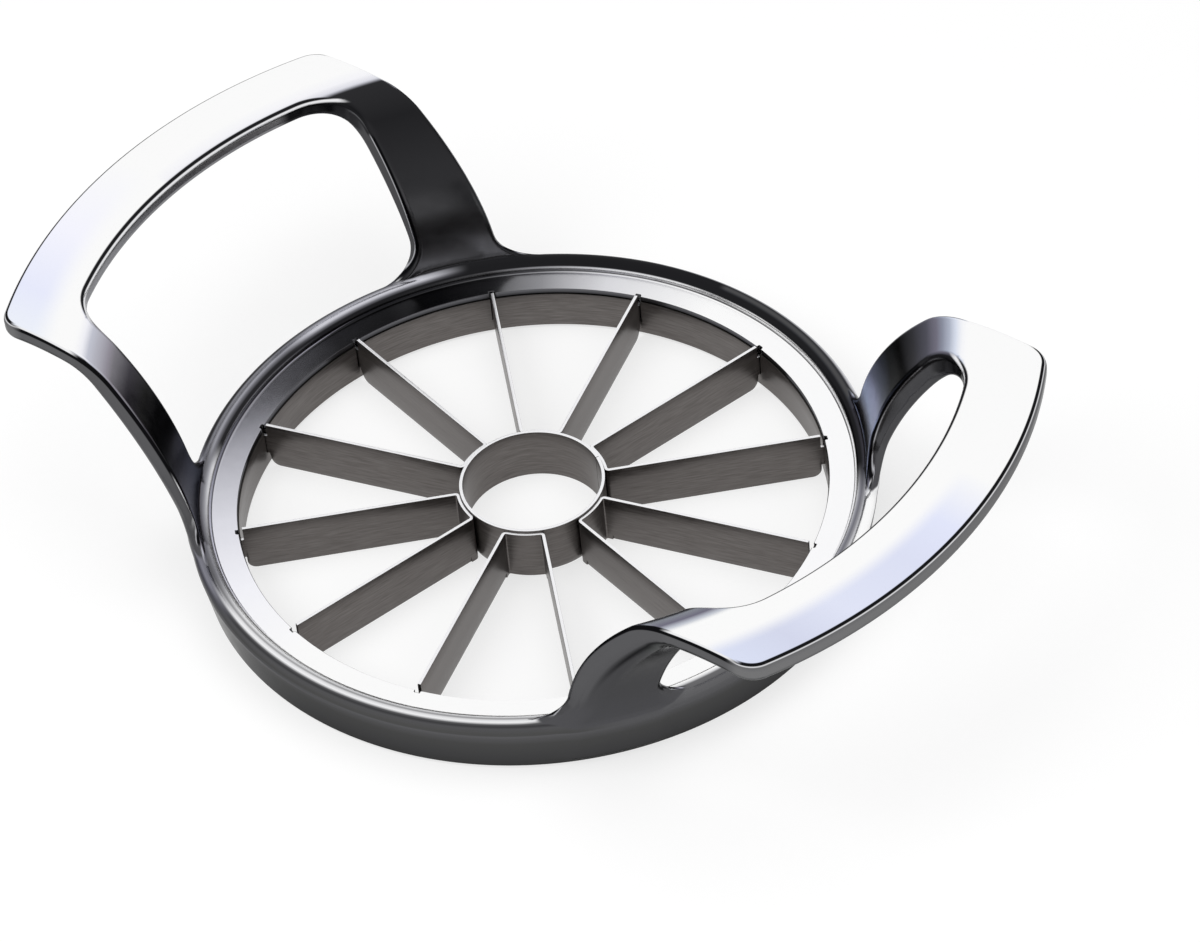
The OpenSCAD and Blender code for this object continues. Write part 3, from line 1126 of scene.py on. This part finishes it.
    # Painted reflections on the legs' inner faces
    far_left: tuple = ((0.0, "76767a"), (0.13, "58585c"), (0.28, "48484a"), (0.42, "303032"),
                       (0.62, "222224"), (0.99, "2c2c2e"))
    near_left: tuple = ((0.0, "4a5060"), (0.21, "464854"), (0.28, "3a3a44"), (0.35, "34343a"),
                        (0.49, "343434"), (0.56, "444248"), (0.62, "7c7a80"), (0.71, "908c96"),
                        (0.86, "b2b2bc"), (0.92, "c0c2ce"), (0.96, "eeeef4"), (0.99, "fafafa"))
    far_right: tuple = ((0.13, "1c1a24"), (0.21, "8c96b0"), (0.28, "9298b4"), (0.35, "646a7c"),
                        (0.42, "1e2022"), (0.49, "0a0a0a"), (0.56, "343438"), (0.62, "52525c"),
                        (0.79, "72707e"), (0.86, "8a8e9e"), (0.92, "acb2c2"), (0.96, "d6dcea"),
                        (0.99, "f8f8fa"))
    near_right: tuple = ((71, "525258"), (72.4, "60606a"), (73.5, "90949c"), (75.7, "727080"),
                         (76.9, "c2c6d0"), (78.9, "fcfcfa"))
    leg_z: tuple = (11.3, 12.6)
    leg_out: tuple = (-0.05, -0.15)
    leg_rise: tuple = (0.9, 0.96)

    # Painted reflections on the crowns: near white where they face the bright roof
    white: str = "fafafa"
    crown_right: tuple = ((-44, "dae0f4"), (-35, "d4d8ec"), (-25, "e0e4f6"), (-10, "dce0f4"), (0, "e2e6fa"),
                          (12, "fafafa"))
    crown_right_r: tuple = (83.0, 86.5)
    crown_left: tuple = ((-44, "ecf0f9"), (-35, "e7eafb"), (-20, "f4f4fe"), (0, "fafafa"))
    crown_left_r: tuple = (80.0, 85.5)
    crown_far: tuple = ((77.0, "c9cad6"), (79.5, "f4f4f8"), (82.0, "fafafa"))
    crown_z: tuple = (36.0, 38.0)
    crown_in_r: tuple = (76.9, 78.2)
    crown_rise: tuple = (0.6, 0.8)

    # Painted highlight lines and dark reflection lines along the handles' rounded edges and inner rims
    side: tuple = ((20, "101012"), (42, "101012"), (48, "b4b4b8"), (54, "48484a"), (90, "525254"))
    arm_side: tuple = ((20, "101012"), (74, "101012"), (81, "58585a"), (90, "5a5a5c"))
    foot_side: tuple = ((20, "101012"), (42, "141416"), (52, "e8e8ea"), (66, "d8d8da"), (74, "48484a"),
                        (90, "565658"))
    grip_side: tuple = ((16, "1c1c1e"), (20, "8a8a8e"), (25, "e8e8ea"), (44, "f0f0f2"), (49, "101012"),
                        (74, "101012"), (80, "58585a"), (90, "5e5e60"))
    rim: tuple = ((24, "161618"), (43, "161618"), (49, "e8e8ea"), (57, "68686a"), (90, "737374"))
    foot_x: tuple = (1.0, -1.0)
    foot_z: tuple = (26.0, 22.0)
    fillet_z: tuple = (19.0, 14.0)
    grip_r: tuple = (76.0, 78.0)
    grip_z: tuple = (38.0, 40.0)
    rim_r: tuple = (87.0, 89.5)
    edge_z: tuple = (12.0, 13.0)
    edge_lean: tuple = (0.28, 0.4)
    edge_rise: tuple = (-0.5, -0.2)
    edge_turn: tuple = (0.35, 0.5)
    edge_r: tuple = (88.0, 89.5)
    inner_rim: tuple = ((40.7, "3a3a3c"), (41.5, "7a7a7c"), (43.0, "96969a"), (43.9, "8a8a8c"),
                        (44.15, "d0d0d2"), (44.45, "f0f0f2"), (44.6, "1c1c1e"))
    inner_far: tuple = ((40.7, "2a2a2c"), (44.0, "1c1c1e"), (44.2, "e0e0e2"), (44.45, "f0f0f2"),
                        (44.6, "1c1c1e"))
    inner_z: tuple = (38.5, 39.5)
    inner_out: tuple = (-0.3, -0.5)
    inner_r: tuple = (79.5, 79.0)
    inner_y: tuple = (36.5, 35.0)
    inner_far_y: tuple = (25.0, 28.0)

    def plain(self, n: Nodes) -> Socket:
        """Painted reflection where no zone is named: the line of sight mirrored in the surface picks the
        tone, and a painted lamp highlight is laid on near the lamp's direction.

        Args:
            n: nodes of the material.

        Returns:
            The colour.
        """
        mirrored = n.vector("REFLECT", self.sight, n.place("Normal"))
        _, y, z = n.parts(mirrored)
        low = n.math("MAXIMUM", n.math("SUBTRACT", self.low_below, z), 0.0)
        bearing = n.math("MULTIPLY_ADD", low, self.low_turn, y)
        tone = n.mix(n.span(bearing, *self.rear_bearing), n.ramp(z, self.fore), n.ramp(z, self.rear))
        # Painted lamp highlight where the mirrored line points near the lamp
        lamp = n.vector("DOT_PRODUCT", mirrored, self.lamp)
        return n.mix(n.span(lamp, *self.lamp_near), tone, hex_colour(self.lamp_tone))

    def ring(self, n: Nodes, s: Surface, tone: Socket) -> Socket:
        """Adds the painted reflections of the ring's wall, lip and flange, and of the handles' outer faces,
        with a painted highlight along the foot's chamfer.

        Args:
            n: nodes of the material.
            s: the point's place and normal.
            tone: colour so far.

        Returns:
            The colour.
        """
        face = n.zone((s.out, self.face_out), (s.z, self.face_low_z), (s.z, self.face_top_z))
        tone = n.mix(face, tone, n.ramp(s.z, self.face))
        wall = n.zone((s.out, self.wall_out), (s.z, self.wall_z))
        tone = n.mix(wall, tone, n.ramp(s.z, self.wall))
        lip = n.zone((s.out, self.lip_out), (s.r, self.lip_r))
        tone = n.mix(lip, tone, n.ramp(s.z, self.lip))
        flange = n.zone((s.z, self.flange_z), (s.r, self.flange_r), (s.nz, self.flange_rise))
        return n.mix(flange, tone, n.ramp(s.bearing, self.flange))

    def round_bead(self, n: Nodes, s: Surface, tone: Socket) -> Socket:
        """Adds the bead's painted reflections and painted highlight lines, over the angle round its section.

        The angle is 180 degrees at the inner foot, 90 on top and 0 outside. Each sector of the ring has
        stops of its own.

        Args:
            n: nodes of the material.
            s: the point's place and normal.
            tone: colour so far.

        Returns:
            The colour.
        """
        off_r, off_z = n.math("SUBTRACT", s.r, self.bead_x), n.math("SUBTRACT", s.z, self.bead_z)
        angle = n.math("WRAP", n.math("DEGREES", n.math("ARCTAN2", off_z, off_r)), 270.0, -90.0)
        (until, stops), *others = self.bead
        bead = n.ramp(angle, stops)
        for end, stops in others:
            bead = n.mix(n.span(s.bearing, *until), bead, n.ramp(angle, stops))
            until = end
        bead = n.mix(n.span(s.bearing, *self.bead_right_end), bead, n.ramp(angle, self.bead_right))
        bead = n.mix(n.span(s.bearing, *self.bead_start), bead, n.ramp(angle, self.bead[-1][1]))
        bead = n.mix(n.span(angle, *self.bead_flank), bead, n.ramp(s.bearing, self.flange))
        off = n.math("ABSOLUTE", n.math("SUBTRACT", n.length(off_r, off_z), self.bead_r))
        share = n.zone((off, self.bead_off), (s.z, self.bead_low_z), (s.r, self.bead_in_r))
        return n.mix(share, tone, bead)

    def handles(self, n: Nodes, s: Surface, tone: Socket) -> Socket:
        """Adds the painted reflections on the legs' inner faces and on the crowns.

        Args:
            n: nodes of the material.
            s: the point's place and normal.
            tone: colour so far.

        Returns:
            The colour.
        """
        left = n.mix(s.far, n.ramp(s.nz, self.near_left), n.ramp(s.nz, self.far_left))
        right = n.mix(s.far, n.ramp(s.r, self.near_right), n.ramp(s.nz, self.far_right))
        up = n.math("MAXIMUM", n.span(s.out, *self.leg_out), n.span(s.nz, *self.leg_rise))
        share = n.math("MULTIPLY", n.span(s.z, *self.leg_z), up)
        tone = n.mix(share, tone, n.mix(s.right, left, right))
        white = hex_colour(self.white)
        right = n.mix(n.span(s.r, *self.crown_right_r), white, n.ramp(s.y, self.crown_right))
        left = n.mix(n.span(s.r, *self.crown_left_r), white, n.ramp(s.y, self.crown_left))
        left = n.mix(s.far, left, n.ramp(s.r, self.crown_far))
        crown = n.zone((s.z, self.crown_z), (s.r, self.crown_in_r), (s.nz, self.crown_rise))
        return n.mix(crown, tone, n.mix(s.right, left, right))

    def edges(self, n: Nodes, s: Surface, tone: Socket) -> Socket:
        """Adds the painted highlight lines and dark reflection lines along the handles' edges and inner rims,
        over how far the surface leans from facing up or inward.

        Args:
            n: nodes of the material.
            s: the point's place and normal.
            tone: colour so far.

        Returns:
            The colour.
        """
        sideways = n.length(n.math("MAXIMUM", s.out, 0.0), s.turn)
        lean = n.math("DEGREES", n.math("ARCSINE", n.math("MINIMUM", sideways, 1.0)))
        foot = n.zone((s.x, self.foot_x), (s.z, self.foot_z))
        near = n.mix(foot, n.ramp(lean, self.arm_side), n.ramp(lean, self.foot_side))
        line = n.mix(n.math("MAXIMUM", s.far, n.span(s.z, *self.fillet_z)), near, n.ramp(lean, self.side))
        grip = n.zone((s.r, self.grip_r), (s.z, self.grip_z))
        line = n.mix(grip, line, n.ramp(lean, self.grip_side))
        line = n.mix(n.span(s.r, *self.rim_r), line, n.ramp(lean, self.rim))
        turned = n.span(n.math("ABSOLUTE", s.turn), *self.edge_turn)
        share = n.zone((s.z, self.edge_z), (sideways, self.edge_lean), (s.nz, self.edge_rise))
        share = n.math("MULTIPLY", share, n.math("MAXIMUM", turned, n.span(s.r, *self.edge_r)))
        tone = n.mix(share, tone, line)
        far = n.span(s.y, *self.inner_far_y)
        inner = n.mix(far, n.ramp(s.z, self.inner_rim), n.ramp(s.z, self.inner_far))
        aside = n.math("ABSOLUTE", s.y)
        share = n.zone((s.z, self.inner_z), (s.out, self.inner_out), (s.r, self.inner_r),
                       (aside, self.inner_y))
        return n.mix(share, tone, inner)

    def material(self) -> bpy.types.Material:
        """Builds the plating's painted reflections from its zones, each laid over the last.

        Returns:
            The material.
        """
        material = bpy.data.materials.new(self.name)
        n = Nodes(material)
        s = Surface(n)
        tone = self.plain(n)
        for zone in (self.ring, self.round_bead, self.handles, self.edges):
            tone = zone(n, s, tone)
        # The base colour holds the painted reflections and highlights
        n.put("Base Color", tone)
        n.put("Specular Tint", n.mix(0.5, tone, hex_colour("ffffff")))
        n.put("Metallic", 1.0)
        rough = self.roughness - self.spread, self.roughness + self.spread
        n.put("Roughness", n.span(n.noise(*self.grain), *NOISE, *rough))
        return material


@dataclass(frozen=True)
class BrushedSteel:
    """Blade steel: brushed sheet whose upper edges are painted brighter or darker than its sides by how far
    they face up: a painted highlight on the blades, painted shade on the band.
    """

    name: str = "blade_steel"
    # Painted highlight on the upper edges, where the normal faces up
    top: str = "f2f2f4"
    painted_edge_rise: tuple = (0.45, 0.85)
    tones: tuple = ((0.25, "5a5654"), (0.5, "686462"), (0.75, "767270"))
    grain: tuple = (260.0, 4.0, (1.0, 1.0, 14.0))
    roughness: float = 0.36
    spread: float = 0.08

    def material(self) -> bpy.types.Material:
        """Builds the steel from noise that is drawn out along the strips, and paints the upper edges' tone
        where the normal faces up.

        Returns:
            The material.
        """
        material = bpy.data.materials.new(self.name)
        n = Nodes(material)
        brushed = n.noise(*self.grain)
        rise = n.parts(n.place("Normal"))[2]
        # Share of the painted edge tone: how far the normal faces up
        up = n.span(rise, *self.painted_edge_rise)
        n.put("Base Color", n.mix(up, n.ramp(brushed, self.tones), hex_colour(self.top)))
        n.put("Metallic", 1.0)
        rough = self.roughness - self.spread, self.roughness + self.spread
        n.put("Roughness", n.span(brushed, *NOISE, *rough))
        return material


# Studio


@dataclass(frozen=True)
class Lamp:
    """A large soft disc of light that faces the object, in millimetres and watts."""

    name: str
    place: tuple
    size: float
    power: float

    def build(self) -> None:
        """Adds the lamp, which no mirror shows."""
        data = bpy.data.lights.new(self.name, "AREA")
        data.shape = "DISK"
        data.size = self.size * MM
        data.energy = self.power
        lamp = bpy.data.objects.new(self.name, data)
        lamp.location = Vector(self.place) * MM
        lamp.visible_glossy = False
        lamp.rotation_euler = (-Vector(self.place)).to_track_quat("-Z", "Y").to_euler()
        bpy.context.scene.collection.objects.link(lamp)


@dataclass
class Studio:
    """Camera at the photograph's angle, a pale floor, a white surround and soft lamps."""

    azimuth: float = 40.1
    elevation: float = 43.3
    roll: float = -5.75
    distance: float = 825.0
    shift: tuple = (11.15, 10.88)
    drop: float = 2.4
    focal_px: float = 4600.0
    width_px: float = 1200.0
    sensor: float = 36.0
    clip: tuple = (10.0, 20000.0)
    floor_half: float = 3000.0
    floor_base: float = 0.35
    floor_roughness: float = 0.9
    glow: tuple = (0.68, 0.84)
    glow_from: tuple = (0.25, 1.1)
    soft_light: float = 0.45
    lamps: tuple = (Lamp("key", (-260, -420, 620), 520, 2.2), Lamp("fill", (620, -60, 420), 520, 1.0),
                    Lamp("top", (0, 120, 760), 620, 1.4))

    def camera(self) -> None:
        """Places the camera: back, right and up axes from the two angles, turned by the roll."""
        az, el, roll = (radians(v) for v in (self.azimuth, self.elevation, self.roll))
        back = Vector((sin(az) * cos(el), -cos(az) * cos(el), sin(el)))
        right = Vector((cos(az), sin(az), 0))
        up = back.cross(right)
        right, up = right * cos(roll) + up * sin(roll), up * cos(roll) - right * sin(roll)
        place = back * self.distance + right * self.shift[0] + up * self.shift[1] - Vector((0, 0, self.drop))
        data = bpy.data.cameras.new("camera")
        data.sensor_width = self.sensor
        data.lens = self.focal_px * self.sensor / self.width_px
        data.clip_start, data.clip_end = (v * MM for v in self.clip)
        eye = bpy.data.objects.new("camera", data)
        turn = Matrix((right, up, back)).transposed().to_4x4()
        eye.matrix_world = Matrix.Translation(place * MM) @ turn
        bpy.context.scene.collection.objects.link(eye)
        bpy.context.scene.camera = eye

    def floor(self) -> None:
        """A wide pale floor that reads white to the camera and to reflections, and takes the shadow."""
        half = self.floor_half * MM
        corners = [(-half, -half, 0), (half, -half, 0), (half, half, 0), (-half, half, 0)]
        mesh = bpy.data.meshes.new("floor")
        mesh.from_pydata(corners, [], [(0, 1, 2, 3)])
        ground = bpy.data.objects.new("floor", mesh)
        bpy.context.scene.collection.objects.link(ground)
        material = bpy.data.materials.new("floor_paper")
        n = Nodes(material)
        n.put("Base Color", (self.floor_base,) * 3 + (1,))
        n.put("Roughness", self.floor_roughness)
        n.put("Specular IOR Level", 0.0)
        n.put("Emission Color", (1, 1, 1, 1))
        away = n.length(*n.parts(n.place("Object"))[:2])
        n.put("Emission Strength", n.math("MULTIPLY", n.seen(), n.span(away, *self.glow_from, *self.glow)))
        mesh.materials.append(material)

    def world(self) -> None:
        """White to the camera and in reflections, and a plain soft light on the object."""
        world = bpy.data.worlds.new("surround")
        n = Nodes(world, "ShaderNodeBackground", "ShaderNodeOutputWorld")
        n.put("Color", (1, 1, 1, 1))
        n.put("Strength", n.math("MULTIPLY_ADD", n.seen(), 1 - self.soft_light, self.soft_light))
        bpy.context.scene.world = world

    def build(self) -> None:
        """Sets up the whole studio."""
        self.camera()
        self.floor()
        self.world()
        for lamp in self.lamps:
            lamp.build()
        bpy.context.scene.view_settings.view_transform = "Standard"


def main() -> None:
    """Builds the studio and each sub-assembly in order."""
    logging.basicConfig(level=logging.INFO, format="%(name)s: %(message)s", stream=sys.stdout)
    Studio().build()
    painted_chrome = PaintedChrome().material()
    steel = BrushedSteel().material()
    # The band's upper edges are painted dark: painted shade under the lip
    band_steel = BrushedSteel("band_steel", top="3c3a38").material()
    CastFrame().dress(painted_chrome, Slot.CASTING, "frame")
    BladeBand().dress(band_steel, Slot.STEEL, "blade_band")
    CoreRing().dress(steel, Slot.STEEL, "core_ring")
    for number in range(6):
        BladePair(number).dress(steel, Slot.STEEL, f"blade_pair_{number + 1}")


if __name__ == "__main__":
    main()
